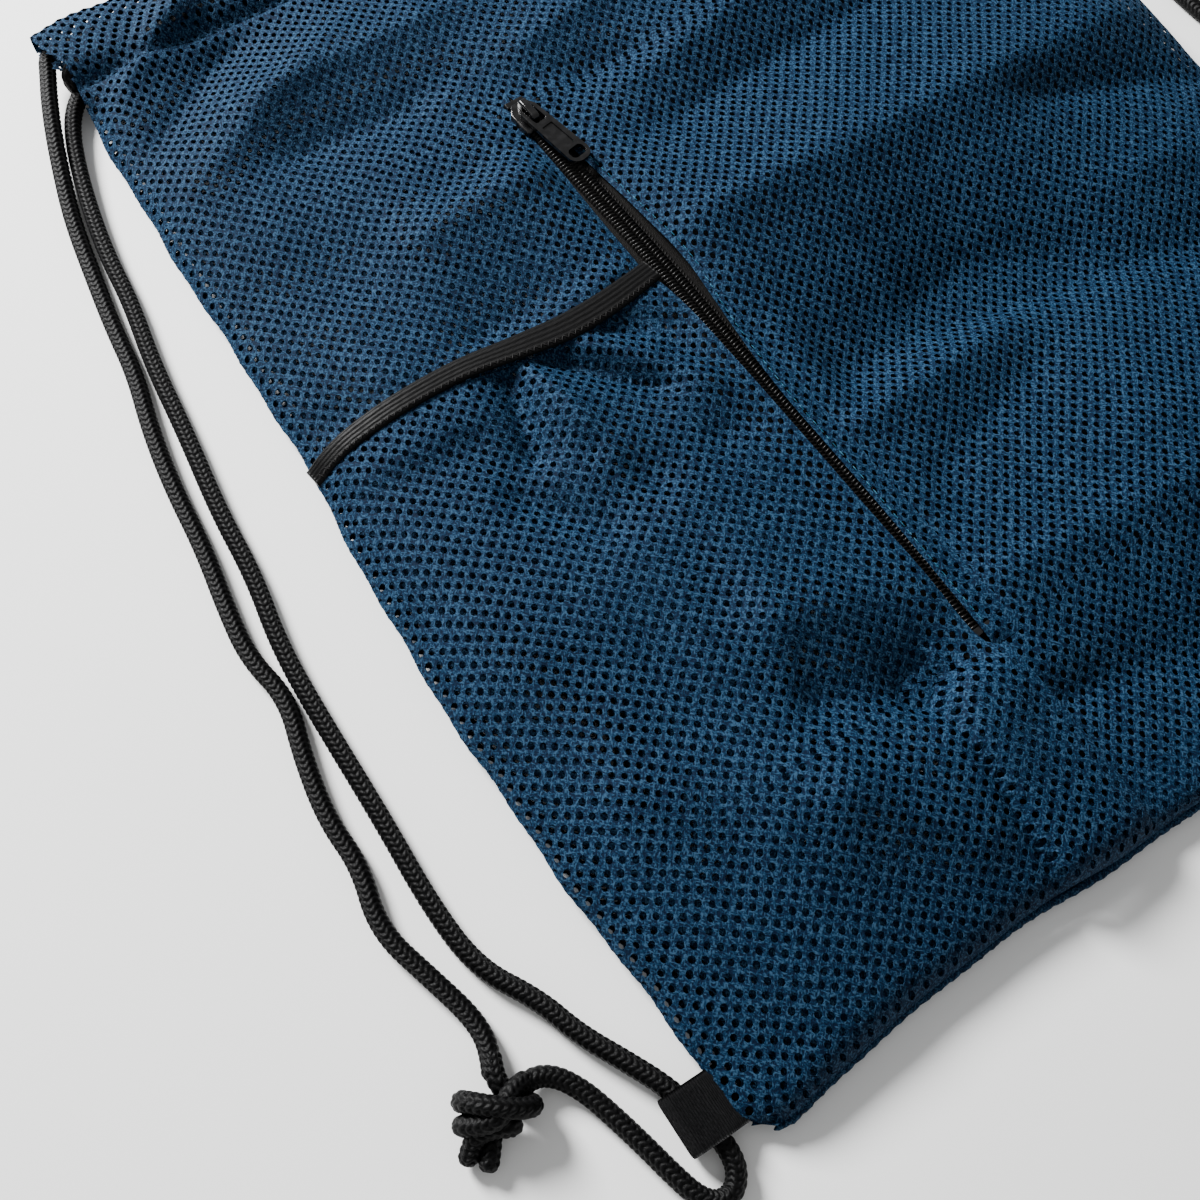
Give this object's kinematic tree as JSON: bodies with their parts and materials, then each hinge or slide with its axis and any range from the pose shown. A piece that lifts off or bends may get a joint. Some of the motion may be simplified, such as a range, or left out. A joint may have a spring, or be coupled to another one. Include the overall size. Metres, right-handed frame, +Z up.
{
  "type": "drawstring backpack",
  "caption": "Flat drawstring backpack of open mesh cloth with a front zip, an elastic-topped side pocket, and braided cords run through webbing tabs at the bottom corners.",
  "frame": {"origin": "middle of the bag's flat outline, on the surface it lies on", "axes": "+Y towards the drawstring mouth, +Z up out of the front panel, +X to the right of someone who looks at the front"},
  "size_m": [0.4668, 0.4144, 0.0206],
  "materials": {
    "mesh_cloth": "open polyester mesh with oval holes, soft sheen",
    "seam_cloth": "doubled mesh, stitched",
    "lining_cloth": "thin woven lining, matt",
    "elastic_band": "ribbed knitted elastic, matt",
    "zip_tape": "fine woven tape, matt",
    "zip_coil": "monofilament coil, satin",
    "zip_stop": "black enamel",
    "slider_enamel": "black enamel, glossy",
    "spring_steel": "plain steel leaf",
    "pull_enamel": "black enamel, glossy",
    "webbing": "ribbed grosgrain webbing, matt",
    "cord_braid": "herringbone braid, slight sheen"
  },
  "bodies": {
    "bag": {"back_panel": "mesh_cloth", "front_panel_left": "mesh_cloth", "front_panel_right": "mesh_cloth", "side_pocket_panel": "mesh_cloth", "back_drawstring_tunnel": "mesh_cloth", "front_drawstring_tunnel": "mesh_cloth", "left_side_seam": "seam_cloth", "right_side_seam": "seam_cloth", "bottom_seam": "seam_cloth", "zip_pocket_lining": "lining_cloth", "pocket_elastic_binding": "elastic_band", "zipper_tape_left": "zip_tape", "zipper_tape_right": "zip_tape", "zipper_coil_left": "zip_coil", "zipper_coil_right": "zip_coil", "zipper_top_stop": "zip_stop", "zipper_bottom_stop": "zip_stop", "left_cord_tab": "webbing", "right_cord_tab": "webbing", "left_cord_in_tunnels": "cord_braid", "right_cord_in_tunnels": "cord_braid", "left_cord_outer_run": "cord_braid", "left_cord_inner_run": "cord_braid", "right_cord_outer_run": "cord_braid", "right_cord_inner_run": "cord_braid", "left_cord_knot": "cord_braid", "right_cord_knot": "cord_braid"},
    "slider": {"slider_body": "slider_enamel", "slider_crown": "slider_enamel", "slider_lock_spring": "spring_steel"},
    "pull": {"pull_tab": "pull_enamel"}
  },
  "joints": [
    {"name": "slider_slide", "type": "slide", "parent": "bag", "child": "slider", "axis": [0.0433, -0.9991, 0], "range_m": [0, 0.212]},
    {"name": "pull_hinge", "type": "hinge", "parent": "slider", "child": "pull", "pos_m": [-0.04977, 0.0881, 0.018], "axis": [-0.98, -0.199, 0], "range_deg": [0, 165]}
  ]
}
